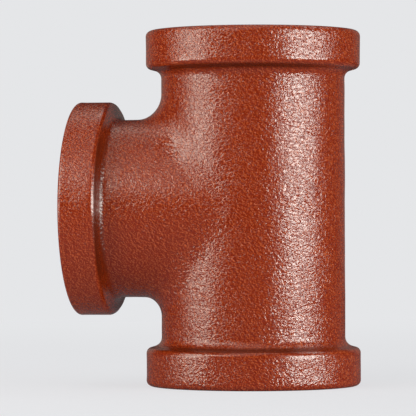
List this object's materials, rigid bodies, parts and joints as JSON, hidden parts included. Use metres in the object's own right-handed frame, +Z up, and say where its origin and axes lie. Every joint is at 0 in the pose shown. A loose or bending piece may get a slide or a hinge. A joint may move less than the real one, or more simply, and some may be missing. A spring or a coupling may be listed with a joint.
{
  "type": "pipe tee",
  "caption": "Banded equal pipe tee, a one-piece red-painted iron casting with an internally threaded socket at each end of its straight run and on its side branch.",
  "frame": {"origin": "centre of the lower end face of the straight run, which the tee stands on", "axes": "+Z up the straight run to the upper socket, -X out along the branch, Y across"},
  "size_m": [0.061, 0.046, 0.076],
  "materials": {
    "red_paint": "glossy oxide-red paint over a rough cast skin"
  },
  "bodies": {
    "root": {"tee_body": "red_paint"}
  },
  "joints": []
}
